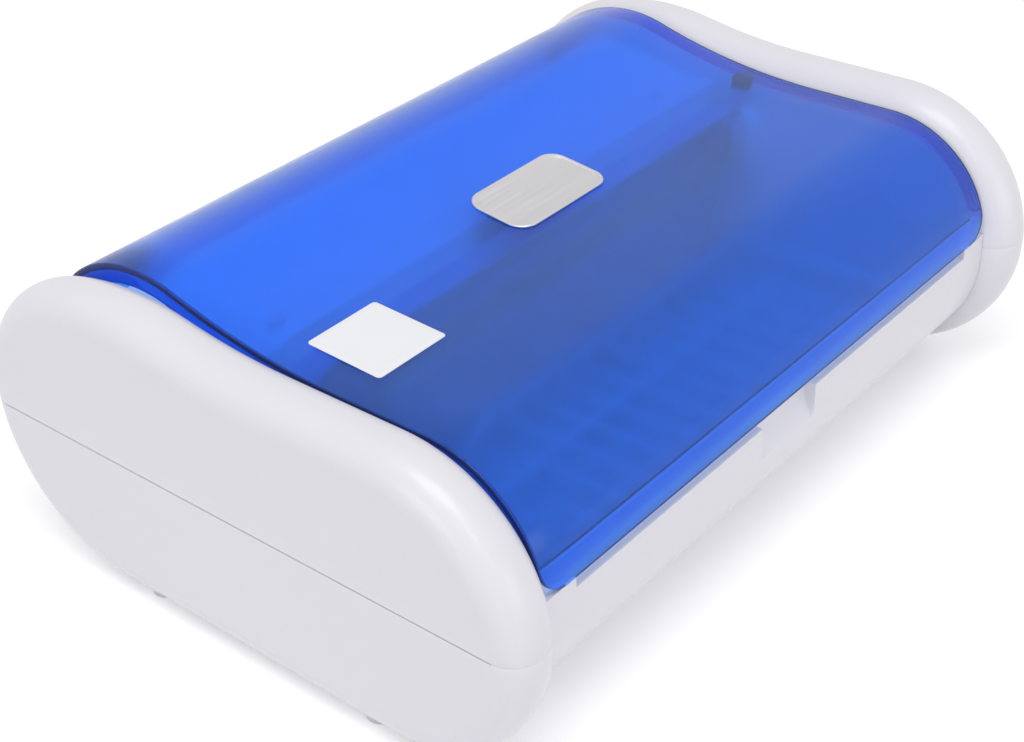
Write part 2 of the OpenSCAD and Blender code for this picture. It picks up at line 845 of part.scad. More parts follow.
module inlet_pins() {
  color("gold") translate([inlet_x, panel_y, panel_z]) inlet_pin_rods();
}

module switch_body() {
  color("black") translate([switch_x, panel_y, panel_z]) difference() {
    union() {
      translate([-switch_w / 2, -switch_l, -switch_h / 2]) cube([switch_w, switch_l, switch_h]);
      translate([-switch_w / 2 - bezel, 0, -switch_h / 2 - bezel]) {
        cube([switch_w + 2 * bezel, 1.6, switch_h + 2 * bezel]);
      }
    }
    translate([-rocker_w / 2 - rocker_gap, -rocker_r - 1, -rocker_h / 2 - rocker_gap]) {
      cube([rocker_w + 2 * rocker_gap, rocker_r + 5, rocker_h + 2 * rocker_gap]);
    }
    translate([0, -1, -switch_h / 2 + 0.4]) cylinder(d = 2, h = switch_h - 0.8);
  }
}

// Rocker that tilts about an upright pin, shown switched off
module switch_rocker() {
  color("black") translate([switch_x, panel_y - 1, panel_z]) rotate([0, 0, rocker_deg]) {
    difference() {
      intersection() {
        translate([0, 0, -rocker_h / 2]) cylinder(r = rocker_w / 2 - 0.4, h = rocker_h);
        translate([-rocker_w / 2, -rocker_r, -rocker_h / 2]) cube([rocker_w, rocker_r + 3, rocker_h]);
      }
      translate([0, rocker_r + 2.2, -rocker_h]) cylinder(r = rocker_r, h = 2 * rocker_h);
    }
    translate([0, 0, -switch_h / 2 + 0.5]) cylinder(d = 1.9, h = switch_h - 1);
  }
}

// Wire tray

tray_l = 2 * (half_in - tray_in);
tray_c = [0, (lip_out + tub_t + wall_y) / 2 - 6];

module tray_rim(l, w, d, z) {
  for (y = [-w / 2, w / 2]) {
    rod_x(d, -l / 2, l / 2, tray_c[1] + y, z);
  }
  for (x = [-l / 2, l / 2]) {
    translate([x, tray_c[1] - w / 2, z]) rotate([-90, 0, 0]) cylinder(d = d, h = w);
    for (y = [-w / 2, w / 2]) translate([x, tray_c[1] + y, z]) sphere(d = d);
  }
}

module wire_tray() {
  z1 = floor_z + tray_h;
  z0 = z1 - tray_drop;
  pitch = tray_l / (cross_n + 1);
  color("lightgray") {
    tray_rim(tray_l, tray_d, rim_wire, z1);
    for (i = [1:cross_n]) translate([-tray_l / 2 + i * pitch, tray_c[1], 0]) {
      translate([0, -tray_d / 2, z0]) rotate([-90, 0, 0]) cylinder(d = cross_wire, h = tray_d);
      for (y = [-tray_d / 2, tray_d / 2]) translate([0, y, z0]) {
        cylinder(d = cross_wire, h = tray_drop);
        sphere(d = cross_wire);
      }
    }
    for (y = [-tray_d / 5, tray_d / 5]) {
      rod_x(cross_wire, -tray_l / 2 + pitch, tray_l / 2 - pitch, tray_c[1] + y, z0);
    }
    for (x = [-tray_l / 2, tray_l / 2], y = [-0.275, 0.275]) {
      translate([x, tray_c[1] + y * tray_d, floor_z]) cylinder(d = rim_wire, h = tray_h);
    }
  }
}

// Feet and screws

module feet() {
  color("gainsboro") for (x = [-foot_x, foot_x], y = foot_y) {
    translate([x, y, 0]) cylinder(d = foot_d, h = foot_h);
  }
}

module cap_screws() {
  color("gray") for (x = [-cap_boss_x, cap_boss_x], y = cap_boss_y) {
    translate([x, y, cap_bot_z + cap_t + screw_head_h]) screw(cap_boss_top - cap_bot_z - cap_t + 8);
  }
}

module end_screws() {
  color("gray") both_ends() for (b = end_bosses) {
    translate([half_in + cap_t, b[0], b[1]]) rotate([0, -90, 0]) screw(cap_t + 8);
  }
}

module cover_screws() {
  color("gray") for (x = cover_screw_x) {
    translate([x, post_y, wall_z + tub_t]) rotate([180, 0, 0]) screw(10);
  }
}

module panel_screws() {
  color("gray") for (x = [-access_x, access_x], y = access_y) translate([x, y, base_z - 2]) screw(10);
}

base_shell();
inner_tub();
rear_cover();
bottom_panel();
left_cap_upper();
left_cap_lower();
right_cap_upper();
right_cap_lower();
lid();
badge_plate();
notice_label();
lid_magnet();
lid_rests();
hinge_pin_left();
hinge_pin_right();
uv_tube();
uv_tube_ends();
lamp_holder_left();
lamp_holder_right();
reflector();
reed_switch();
ballast();
starter();
starter_socket();
terminal_block();
fuse_holder();
fuse();
power_inlet();
inlet_pins();
switch_body();
switch_rocker();
wire_tray();
feet();
cap_screws();
end_screws();
cover_screws();
panel_screws();
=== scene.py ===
import json
import math

import bmesh
import bpy
from mathutils import Matrix, Vector


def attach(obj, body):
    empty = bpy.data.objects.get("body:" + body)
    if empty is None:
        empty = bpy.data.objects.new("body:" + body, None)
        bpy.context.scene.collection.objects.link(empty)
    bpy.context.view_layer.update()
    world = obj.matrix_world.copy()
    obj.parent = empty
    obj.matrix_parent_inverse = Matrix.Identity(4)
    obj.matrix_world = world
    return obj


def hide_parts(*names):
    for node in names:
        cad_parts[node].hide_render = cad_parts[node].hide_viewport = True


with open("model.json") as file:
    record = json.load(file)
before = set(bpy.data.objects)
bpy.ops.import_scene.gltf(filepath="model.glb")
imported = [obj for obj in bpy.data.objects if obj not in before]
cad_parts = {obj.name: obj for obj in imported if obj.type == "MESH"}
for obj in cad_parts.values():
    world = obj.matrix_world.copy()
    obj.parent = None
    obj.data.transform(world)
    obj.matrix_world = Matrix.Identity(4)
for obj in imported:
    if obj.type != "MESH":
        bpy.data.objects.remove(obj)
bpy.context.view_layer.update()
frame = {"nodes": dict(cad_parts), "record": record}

# Sizes in millimetres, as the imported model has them. Outlines are drawn in Y and Z.
MM = 0.001

# End caps
CASE_L = 357.0
HALF_IN = 152.0
FRONT_Y, BACK_Y = -135.5, 135.5
CAP_BOTTOM = 3.0
CAP_FRONT_R, CAP_BACK_R = 62.3, 64.8
CAP_HUMP, CAP_RISE_Y, CAP_PEAK_Y = 7.2, -20.0, 55.0
ROLL_IN_R, ROLL_OUT_R, ROLL_STEPS = 14.0, 11.2, 12
PART_Z, PART_EDGE = 67.3, 0.12
# Pads over the feet and bores for the screws: place, then radius, bottom and top
FOOT_X, FOOT_Y, FOOT_PAD = 166.65, (-59.2, 56.7), (7.0, 2.99, 7.0)
SCREW_X, SCREW_Y, SCREW_BORE = 167.0, (-73.2, 70.7), (3.2, 0.0, 7.7)

# Lid
LID_HALF, LID_T, LID_COLUMNS, LID_RIM = 151.6, 2.6, 14, 0.5
LID_FRONT, LID_BACK = -125.2, 122.8
LID_FRONT_R, LID_HUMP_R = 48.6, 60.4
LID_FLAT_Z, LID_HUMP, LID_RISE_Y, LID_EDGE_Z = 120.7, 14.9, -38.0, 74.3
LID_CORNER, BACK_CORNER = 12.0, 1.0
CORNER_STEPS = (0.0, 0.75, 1.7, 2.9, 4.3, 6.0, 7.9, 9.9, LID_CORNER)
CORNER_END = LID_CORNER + 2.5
FLANGE, FLANGE_FRONT, FLANGE_BACK, FLANGE_EDGE = 5.5, 12.0, 4.0, 0.5
FLANGE_GAP, FLANGE_IN = 0.03, 0.1  # under the lid's skin, and in from its end
HINGE = (110.8, 90.0)
EAR_R, EAR_BORE_R, EAR_IN, EAR_EDGE, EAR_STEPS = 8.0, 3.05, 0.05, 0.4, 48

# Plates on the lid: middle, length, width and corner radius, then steps of inset and height
PLATE_STEPS = 8
BADGE = (0.0, -2.5, 56.0, 31.0, 8.0)
BADGE_STEPS = ((0.3, 0.02), (0.05, 0.3), (0.05, 0.7), (0.35, 1.05), (0.8, 1.15), (1.5, 1.15), (1.9, 0.85),
               (5, 0.8), (9, 0.8), (13, 0.8))
LABEL = (-118.4, -24.8, 34.8, 34.8, 1.6)
LABEL_STEPS = ((0.0, 0.02), (0.0, 0.22), (0.15, 0.28), (3, 0.28), (7, 0.28), (11, 0.28), (15, 0.28))

# Dark bar of painted shade in the gap on the tub's front lip, from and to along X, Y and Z
GAP_SHADE_BAR = ((-151.0, 146.0), (-118.9, -118.2), (81.6, 82.35))
GAP_SHADE_BAR_EDGE = 0.1

SHARP = math.radians(35.0)


# Outlines

def rise_radius(run, rise, hump_r):
    """Radius of the hollow arc that climbs a rise over a run and meets the hump's arc."""
    return (run * run / rise + rise) / 2 - hump_r


def rise_angle(run, rise, hump_r, dip_r):
    """Angle, in degrees, at which the hollow arc meets the hump's arc."""
    return math.degrees(math.atan2(run, dip_r + hump_r - rise))


class Outline:
    """A smooth outline of arcs. A sample is (centre, radius, sign, angle), in degrees.

    The sample's point, drawn in by d, lies at radius - sign * d. The sign is -1 on hollow arcs.
    """

    def __init__(self):
        self.samples = []

    def arc(self, centre, radius, start, end, count, sign=1, skip=0):
        for i in range(skip, count + 1):
            self.samples.append((centre, radius, sign, start + (end - start) * i / count))

    def at(self, sample, d):
        (y, z), radius, sign, angle = sample
        r = radius - sign * d
        a = math.radians(angle)
        return y + r * math.cos(a), z + r * math.sin(a)


# Centres of the caps' arcs: front, back, hump and dip
CAP_FLAT = CAP_BOTTOM + 2 * CAP_FRONT_R
CF = (FRONT_Y + CAP_FRONT_R, CAP_BOTTOM + CAP_FRONT_R)
CB = (BACK_Y - CAP_BACK_R, CAP_BOTTOM + CAP_BACK_R)
CAP_PEAK_Z = CAP_FLAT + CAP_HUMP
PEAK_UP, PEAK_IN = CAP_PEAK_Z - CB[1], CB[0] - CAP_PEAK_Y
CAP_HUMP_R = (PEAK_UP * PEAK_UP + PEAK_IN * PEAK_IN - CAP_BACK_R ** 2) / (2 * (PEAK_UP - CAP_BACK_R))
CH = (CAP_PEAK_Y, CAP_PEAK_Z - CAP_HUMP_R)
CAP_RUN = CAP_PEAK_Y - CAP_RISE_Y
CAP_DIP_R = rise_radius(CAP_RUN, CAP_HUMP, CAP_HUMP_R)
CAP_DIP_A = rise_angle(CAP_RUN, CAP_HUMP, CAP_HUMP_R, CAP_DIP_R)
CD = (CAP_RISE_Y, CAP_FLAT + CAP_DIP_R)
CAP_JOIN_A = math.degrees(math.atan2(CB[1] - CH[1], CB[0] - CH[0]))

# Centres of the lid's arcs: front, hump and dip
LF = (LID_FRONT + LID_FRONT_R, LID_FLAT_Z - LID_FRONT_R)
LH = (LID_BACK - LID_HUMP_R, LID_FLAT_Z + LID_HUMP - LID_HUMP_R)
LID_RUN = LH[0] - LID_RISE_Y
LID_DIP_R = rise_radius(LID_RUN, LID_HUMP, LID_HUMP_R)
LID_DIP_A = rise_angle(LID_RUN, LID_HUMP, LID_HUMP_R, LID_DIP_R)
LD = (LID_RISE_Y, LID_FLAT_Z + LID_DIP_R)


def lid_top(y):
    """Height of the lid's outer face."""
    if y < LF[0]:
        return LF[1] + math.sqrt(max(0.0, LID_FRONT_R ** 2 - (y - LF[0]) ** 2))
    if y < LD[0]:
        return LID_FLAT_Z
    if y < LD[0] + LID_DIP_R * math.sin(math.radians(LID_DIP_A)):
        return LD[1] - math.sqrt(LID_DIP_R ** 2 - (y - LD[0]) ** 2)
    return LH[1] + math.sqrt(max(0.0, LID_HUMP_R ** 2 - (y - LH[0]) ** 2))


# Materials

NOISE_LOW, NOISE_HIGH = 0.35, 0.65  # where most of a noise texture's values lie
CLOUD, GRAIN, HAZE = (14.0, 4.0), (1400.0, 2.0), (60.0, 3.0)  # scale, in cells a metre, and detail
SCRATCHES, SCRATCH_RUN = 900.0, 25.0  # across and along, in cells a metre
GRAIN_DEPTH, SCRATCH_DEPTH = 0.0002, 0.00005  # in metres


def new_material(name):
    mat = bpy.data.materials.new(name)
    mat.use_nodes = True
    tree = mat.node_tree
    shader = tree.nodes["Principled BSDF"]
    return mat, tree, shader


def noise(tree, scale, detail):
    coords = tree.nodes.new("ShaderNodeTexCoord")
    tex = tree.nodes.new("ShaderNodeTexNoise")
    tex.inputs["Scale"].default_value = scale
    tex.inputs["Detail"].default_value = detail
    tree.links.new(coords.outputs["Object"], tex.inputs["Vector"])
    return tex


def vary(tree, source, low, high, socket):
    """Spreads a texture's values between low and high and feeds them to a socket."""
    span = tree.nodes.new("ShaderNodeMapRange")
    span.inputs["From Min"].default_value = NOISE_LOW
    span.inputs["From Max"].default_value = NOISE_HIGH
    span.inputs["To Min"].default_value = low
    span.inputs["To Max"].default_value = high
    tree.links.new(source, span.inputs["Value"])
    tree.links.new(span.outputs["Result"], socket)


def two_tone(tree, source, low, high, socket):
    """Feeds a socket a colour that a texture moves between two tones."""
    ramp = tree.nodes.new("ShaderNodeValToRGB")
    for element, place, tone in zip(ramp.color_ramp.elements, (NOISE_LOW, NOISE_HIGH), (low, high)):
        element.position = place
        element.color = (*tone, 1)
    tree.links.new(source, ramp.inputs["Fac"])
    tree.links.new(ramp.outputs["Color"], socket)


def bump(tree, source, shader, strength, distance):
    node = tree.nodes.new("ShaderNodeBump")
    node.inputs["Strength"].default_value = strength
    node.inputs["Distance"].default_value = distance
    tree.links.new(source, node.inputs["Height"])
    tree.links.new(node.outputs["Normal"], shader.inputs["Normal"])


def moulded(name, colour, rough, grain=0.05, spread=0.02, coat=0.0):
    """Moulded plastic or rubber: faint cloudiness, a fine grain and uneven gloss."""
    mat, tree, shader = new_material(name)
    cloud = noise(tree, *CLOUD)
    fine = noise(tree, *GRAIN)
    low = [max(0.0, c * (1 - spread)) for c in colour]
    high = [min(1.0, c * (1 + spread)) for c in colour]
    two_tone(tree, cloud.outputs["Fac"], low, high, shader.inputs["Base Color"])
    vary(tree, fine.outputs["Fac"], rough * 0.85, min(1.0, rough * 1.15), shader.inputs["Roughness"])
    bump(tree, fine.outputs["Fac"], shader, grain, GRAIN_DEPTH)
    shader.inputs["Coat Weight"].default_value = coat
    shader.inputs["Coat Roughness"].default_value = 0.12
    return mat


def metal(name, colour, rough, brushed, axis=0):
    """Metal with fine scratches, drawn out along one axis."""
    mat, tree, shader = new_material(name)
    shader.inputs["Metallic"].default_value = 1.0
    coords = tree.nodes.new("ShaderNodeTexCoord")
    place = tree.nodes.new("ShaderNodeMapping")
    scale = [SCRATCHES] * 3
    scale[axis] = SCRATCH_RUN
    place.inputs["Scale"].default_value = scale
    tex = tree.nodes.new("ShaderNodeTexNoise")
    tex.inputs["Scale"].default_value = 1.0
    tex.inputs["Detail"].default_value = 3.0
    tree.links.new(coords.outputs["Object"], place.inputs["Vector"])
    tree.links.new(place.outputs["Vector"], tex.inputs["Vector"])
    low = [c * 0.94 for c in colour]
    two_tone(tree, tex.outputs["Fac"], low, colour, shader.inputs["Base Color"])
    vary(tree, tex.outputs["Fac"], rough * 0.7, min(1.0, rough * 1.3), shader.inputs["Roughness"])
    bump(tree, tex.outputs["Fac"], shader, brushed, SCRATCH_DEPTH)
    return mat


def clear(name, colour, rough, share, ior=1.49, haze=False, lamp=(0.95, 0.98, 1.0)):
    """See-through plastic or glass. Lamp rays pass it tinted, so what is inside is lit."""
    mat, tree, shader = new_material(name)
    shader.inputs["Base Color"].default_value = (*colour, 1)
    shader.inputs["Transmission Weight"].default_value = share
    shader.inputs["IOR"].default_value = ior
    cloud = noise(tree, *HAZE)
    vary(tree, cloud.outputs["Fac"], rough * 0.8, rough * 1.2, shader.inputs["Roughness"])
    if haze:
        low = [c * 0.97 for c in colour]
        two_tone(tree, cloud.outputs["Fac"], low, colour, shader.inputs["Base Color"])
    through = tree.nodes.new("ShaderNodeBsdfTransparent")
    through.inputs["Color"].default_value = (*lamp, 1)
    path = tree.nodes.new("ShaderNodeLightPath")
    mix = tree.nodes.new("ShaderNodeMixShader")
    tree.links.new(path.outputs["Is Shadow Ray"], mix.inputs["Fac"])
    tree.links.new(shader.outputs["BSDF"], mix.inputs[1])
    tree.links.new(through.outputs["BSDF"], mix.inputs[2])
    tree.links.new(mix.outputs["Shader"], tree.nodes["Material Output"].inputs["Surface"])
    return mat


LID_IOR = 1.33
LID_LAMP = (0.8, 0.87, 0.98)  # the tint of lamp rays that pass the lid
mats = {
    "white_shell": moulded("white_shell", (0.768, 0.757, 0.80), 0.34, grain=0.03, spread=0.006, coat=0.15),
    "white_inside": moulded("white_inside", (0.81, 0.82, 0.82), 0.4, grain=0.03, spread=0.006),
    "grey_panel": moulded("grey_panel", (0.42, 0.43, 0.45), 0.55, grain=0.2),
    "lid_blue": clear("lid_blue", (0.055, 0.30, 0.92), 0.17, 0.92, ior=LID_IOR, haze=True, lamp=LID_LAMP),
    "lid_deep": clear("lid_deep", (0.05, 0.2, 0.8), 0.2, 0.9, ior=LID_IOR, haze=True, lamp=LID_LAMP),
    # Dark navy painted on the lid's clear rim: painted shade for how its edge looks dark.
    "lid_rim_painted_shade": moulded("lid_rim_painted_shade", (0.012, 0.02, 0.14), 0.2, grain=0.0),
    "badge_silver": metal("badge_silver", (0.62, 0.61, 0.63), 0.45, brushed=0.06),
    "label_white": moulded("label_white", (0.84, 0.85, 0.87), 0.5, grain=0.1, spread=0.01),
    "magnet_dark": moulded("magnet_dark", (0.05, 0.05, 0.06), 0.5),
    "rubber_white": moulded("rubber_white", (0.68, 0.69, 0.71), 0.6, grain=0.2),
    "screw_white": moulded("screw_white", (0.74, 0.75, 0.77), 0.4),
    "steel": metal("steel", (0.55, 0.55, 0.56), 0.28, brushed=0.1, axis=2),
    "lamp_glass": clear("lamp_glass", (0.93, 0.97, 1.0), 0.02, 1.0, ior=1.46),
    "lamp_metal": metal("lamp_metal", (0.8, 0.8, 0.81), 0.25, brushed=0.1),
    "holder_white": moulded("holder_white", (0.78, 0.78, 0.77), 0.45, grain=0.1),
    "reflector_metal": metal("reflector_metal", (0.86, 0.87, 0.88), 0.5, brushed=0.12),
    "black_plastic": moulded("black_plastic", (0.02, 0.02, 0.022), 0.45, grain=0.15, spread=0.1),
    "ballast_metal": moulded("ballast_metal", (0.09, 0.1, 0.11), 0.4, grain=0.2, spread=0.15),
    "starter_can": moulded("starter_can", (0.72, 0.73, 0.72), 0.35),
    "terminal_ivory": moulded("terminal_ivory", (0.70, 0.66, 0.52), 0.45, grain=0.08),
    "fuse_glass": clear("fuse_glass", (0.9, 0.95, 0.95), 0.02, 1.0, ior=1.5),
    "pin_brass": metal("pin_brass", (0.72, 0.55, 0.25), 0.25, brushed=0.1, axis=1),
    "tray_white": moulded("tray_white", (0.74, 0.75, 0.78), 0.4, grain=0.1),
}


def painted_shade_by_height(name, low, high, z0, z1):
    """White plastic with painted shade: darker below z0 than above z1, both in metres, for the shade that
    falls deep inside the tub.
    """
    mat = moulded(name, high, 0.4, grain=0.03, spread=0.006)
    tree = mat.node_tree
    shader = tree.nodes["Principled BSDF"]
    coords = tree.nodes.new("ShaderNodeTexCoord")
    split = tree.nodes.new("ShaderNodeSeparateXYZ")
    span = tree.nodes.new("ShaderNodeMapRange")
    span.inputs["From Min"].default_value = z0
    span.inputs["From Max"].default_value = z1
    blend = tree.nodes.new("ShaderNodeMix")
    blend.data_type = "RGBA"
    # The darker tone below z0 is painted shade.
    blend.inputs["A"].default_value = (*low, 1)
    cloudy = shader.inputs["Base Color"].links[0].from_socket
    tree.links.new(coords.outputs["Object"], split.inputs["Vector"])
    tree.links.new(split.outputs["Z"], span.inputs["Value"])
    tree.links.new(span.outputs["Result"], blend.inputs["Factor"])
    tree.links.new(cloudy, blend.inputs["B"])
    tree.links.new(blend.outputs["Result"], shader.inputs["Base Color"])
    return mat


# Painted shade: the tub's inside is painted darker towards its floor, where less light reaches.
mats["tub_white_painted_shade"] = painted_shade_by_height("tub_white_painted_shade", (0.56, 0.57, 0.60), (0.82, 0.83, 0.86), z0=0.055, z1=0.076)
material_of = {s["node"]: s["material_slot"] for s in frame["record"]["subparts"]}
material_of["inner_tub"] = "tub_white_painted_shade"
for node_name, node_obj in frame["nodes"].items():
    node_obj.data.materials.clear()
    node_obj.data.materials.append(mats[material_of[node_name]])


# Mesh helpers

def to_object(name, bm, material):
    """Object with a smooth-shaded mesh, sharp only at true edges."""
    bmesh.ops.recalc_face_normals(bm, faces=bm.faces)
    mesh = bpy.data.meshes.new(name)
    bm.to_mesh(mesh)
    bm.free()
    for poly in mesh.polygons:
        poly.use_smooth = True
    mesh.set_sharp_from_angle(angle=SHARP)
    obj = bpy.data.objects.new(name, mesh)
    bpy.context.scene.collection.objects.link(obj)
    mesh.materials.append(mats[material])
    return obj


def new_verts(bm, rows):
    return [[bm.verts.new(Vector(p) * MM) for p in row] for row in rows]


def grid(bm, rows):
    """Skins a list of rows of points. Every row has as many points as the others."""
    verts = new_verts(bm, rows)
    for a, b in zip(verts, verts[1:]):
        for i in range(len(a) - 1):
            bm.faces.new((a[i], a[i + 1], b[i + 1], b[i]))
    return verts


def ring_skin(bm, rings, close=True):
    """Skins closed rings of points, and may close the first and the last."""
    verts = new_verts(bm, rings)
    n = len(verts[0])
    for a, b in zip(verts, verts[1:]):
        for i in range(n):
            k = (i + 1) % n
            bm.faces.new((a[i], a[k], b[k], b[i]))
    if close:
        bm.faces.new(verts[0])
        bm.faces.new(list(reversed(verts[-1])))
    return verts


def soften(bm, width, angle=60.0, segments=2):
    """Rounds every edge sharper than the angle."""
    bm.normal_update()
    limit = math.radians(angle)
    edges = [e for e in bm.edges if len(e.link_faces) == 2 and e.calc_face_angle(0) > limit]
    bmesh.ops.bevel(bm, geom=edges, offset=width * MM, segments=segments, affect="EDGES", profile=0.5,
                    clamp_overlap=True)


def rod(x, y, size):
    """Upright cylinder of a radius between two heights."""
    radius, z0, z1 = size
    bm = bmesh.new()
    place = Matrix.Translation(Vector((x, y, (z0 + z1) / 2)) * MM)
    bmesh.ops.create_cone(bm, cap_ends=True, segments=48, radius1=radius * MM, radius2=radius * MM,
                          depth=(z1 - z0) * MM, matrix=place)
    return to_object("rod", bm, "white_shell")


def combine(obj, shape, operation):
    """Joins a shape to an object or cuts it out, and removes the shape."""
    step = obj.modifiers.new("combine", "BOOLEAN")
    step.operation = operation
    step.object = shape
    step.solver = "EXACT"
    whole = bpy.data.meshes.new_from_object(obj.evaluated_get(bpy.context.evaluated_depsgraph_get()))
    obj.modifiers.clear()
    obj.data = whole
    whole.set_sharp_from_angle(angle=SHARP)
    bpy.data.objects.remove(shape)


# End caps

def cap_half(name, node, side, upper):
    """One half of an end cap: a roll that runs round a flat outer face, parted by a fine groove."""
    turns = [math.radians(90 * i / ROLL_STEPS) for i in range(ROLL_STEPS + 1)]
    stations = [(HALF_IN + ROLL_IN_R * (1 - math.cos(a)), ROLL_IN_R * (1 - math.sin(a))) for a in turns]
    stations += [(CASE_L / 2 - ROLL_OUT_R * (1 - math.sin(a)), ROLL_OUT_R * (1 - math.cos(a))) for a in turns]
    rows = []
    for x, d in stations:
        line = Outline()
        front = 180 - math.degrees(math.asin((PART_Z - CF[1]) / (CAP_FRONT_R - d)))
        back = math.degrees(math.asin((PART_Z - CB[1]) / (CAP_BACK_R - d)))
        if upper:
            line.arc(CF, CAP_FRONT_R, front, 90, 30)
            line.arc(CD, CAP_DIP_R, 270, 270 + CAP_DIP_A, 10, sign=-1)
            line.arc(CH, CAP_HUMP_R, 90 + CAP_DIP_A, CAP_JOIN_A, 12, skip=1)
            line.arc(CB, CAP_BACK_R, CAP_JOIN_A, back, 26, skip=1)
        else:
            line.arc(CF, CAP_FRONT_R, front, 270, 30)
            line.arc(CB, CAP_BACK_R, -90, back, 30)
        rows.append([(side * x, *line.at(s, d)) for s in line.samples])
    bm = bmesh.new()
    verts = grid(bm, rows)
    bm.faces.new(verts[0])
    bm.faces.new(list(reversed(verts[-1])))
    bm.faces.new([row[0] for row in verts] + [row[-1] for row in reversed(verts)])
    soften(bm, PART_EDGE)
    obj = to_object(name, bm, "white_shell")
    if not upper:
        for y in FOOT_Y:
            combine(obj, rod(side * FOOT_X, y, FOOT_PAD), "UNION")
        for y in SCREW_Y:
            combine(obj, rod(side * SCREW_X, y, SCREW_BORE), "DIFFERENCE")
    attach(obj, "case")
    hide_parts(node)


for side, word in ((-1, "left"), (1, "right")):
    cap_half(f"{word}_cap_top", f"{word}_cap_upper", side, True)
    cap_half(f"{word}_cap_bottom", f"{word}_cap_lower", side, False)


# Lid

def lid_outline(front_z, back_z):
    """The lid's outer face, from a height at its front to one over the hump's centre at its back."""
    line = Outline()
    start = 180 - math.degrees(math.asin((front_z - LF[1]) / LID_FRONT_R))
    for step in CORNER_STEPS:
        line.samples.append((LF, LID_FRONT_R, 1, start - math.degrees(step / LID_FRONT_R)))
    line.arc(LF, LID_FRONT_R, start - math.degrees(CORNER_END / LID_FRONT_R), 90, 22)
    line.arc(LD, LID_DIP_R, 270, 270 + LID_DIP_A, 22, sign=-1)
    line.arc(LH, LID_HUMP_R, 90 + LID_DIP_A, math.degrees(math.asin(back_z / LID_HUMP_R)), 44, skip=1)
    return line


def along(line):
    """Distance from the first sample to each sample, on the outer face."""
    total, out, last = 0.0, [], None
    for s in line.samples:
        p = line.at(s, 0)
        if last:
            total += math.dist(p, last)
        out.append(total)
        last = p
    return out


def lid_skin():
    """The lid's curved sheet, with round corners and a rim painted dark navy: painted shade for the dark look
    of the clear plastic's edge.
    """
    line = lid_outline(LID_EDGE_Z, 0.0)
    lengths = along(line)
    outer, inner = [], []
    for s, t in zip(line.samples, lengths):
        half = LID_HALF
        for gap, corner in ((t, LID_CORNER), (lengths[-1] - t, BACK_CORNER)):
            if gap < corner:
                half -= corner - math.sqrt(corner ** 2 - (corner - gap) ** 2)
        xs = [half * (2 * i / LID_COLUMNS - 1) for i in range(LID_COLUMNS + 1)]
        outer.append([(x, *line.at(s, 0)) for x in xs])
        inner.append([(x, *line.at(s, LID_T)) for x in xs])
    bm = bmesh.new()
    a = grid(bm, outer)
    b = grid(bm, inner)
    rim = []
    for i in range(len(a) - 1):
        rim.append(bm.faces.new((a[i][0], a[i + 1][0], b[i + 1][0], b[i][0])))
        rim.append(bm.faces.new((a[i][-1], b[i][-1], b[i + 1][-1], a[i + 1][-1])))
    for i in range(LID_COLUMNS):
        rim.append(bm.faces.new((a[0][i], b[0][i], b[0][i + 1], a[0][i + 1])))
        rim.append(bm.faces.new((a[-1][i], a[-1][i + 1], b[-1][i + 1], b[-1][i])))
    # The rim faces take the second slot, dark navy painted shade on the clear edge.
    for face in rim:
        face.material_index = 1
    bmesh.ops.recalc_face_normals(bm, faces=bm.faces)
    soften(bm, LID_RIM, angle=55.0, segments=3)
    obj = to_object("lid_skin", bm, "lid_blue")
    obj.data.materials.append(mats["lid_rim_painted_shade"])
    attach(obj, "lid")
    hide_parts("lid")


def lid_flange(side, word):
    """Strip that stands inwards along one end of the lid."""
    line = lid_outline(LID_EDGE_Z + FLANGE_FRONT, FLANGE_BACK)
    x0, x1 = LID_HALF - LID_T, LID_HALF - FLANGE_IN
    rings = []
    for s in line.samples:
        top, low = line.at(s, LID_T + FLANGE_GAP), line.at(s, LID_T + FLANGE)
        rings.append([(side * x0, *top), (side * x1, *top), (side * x1, *low), (side * x0, *low)])
    bm = bmesh.new()
    ring_skin(bm, rings)
    soften(bm, FLANGE_EDGE)
    obj = to_object(f"lid_flange_{word}", bm, "lid_deep")
    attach(obj, "lid")


def lid_ear(side, word):
    """Ring round a hinge pin at the end of the lid."""
    rings = []
    x0, x1 = side * (LID_HALF - LID_T - EAR_IN), side * (LID_HALF - EAR_IN)
    section = [(x0, EAR_BORE_R), (x0, EAR_R), (x1, EAR_R), (x1, EAR_BORE_R)]
    for i in range(EAR_STEPS):
        a = 2 * math.pi * i / EAR_STEPS
        rings.append([(x, HINGE[0] + r * math.cos(a), HINGE[1] + r * math.sin(a)) for x, r in section])
    bm = bmesh.new()
    verts = new_verts(bm, rings)
    for i in range(EAR_STEPS):
        a, b = verts[i], verts[(i + 1) % EAR_STEPS]
        for k in range(4):
            m = (k + 1) % 4
            bm.faces.new((a[k], a[m], b[m], b[k]))
    bmesh.ops.recalc_face_normals(bm, faces=bm.faces)
    soften(bm, EAR_EDGE)
    obj = to_object(f"lid_ear_{word}", bm, "lid_blue")
    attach(obj, "lid")


lid_skin()
for side, word in ((-1, "left"), (1, "right")):
    lid_flange(side, word)
    lid_ear(side, word)


# Plates on the lid

def plate_ring(cx, cy, length, width, radius, inset, height):
    """Ring of points round a rectangle with round corners, laid on the lid's curve."""
    out = []
    hl, hw = length / 2 - inset, width / 2 - inset
    r = max(0.05, radius - inset)
    for k, (sx, sy) in enumerate(((1, 1), (-1, 1), (-1, -1), (1, -1))):
        for i in range(PLATE_STEPS + 1):
            a = math.radians(90 * k + 90 * i / PLATE_STEPS)
            x = cx + sx * (hl - r) + r * math.cos(a)
            y = cy + sy * (hw - r) + r * math.sin(a)
            out.append((x, y, lid_top(y) + height))
    return out


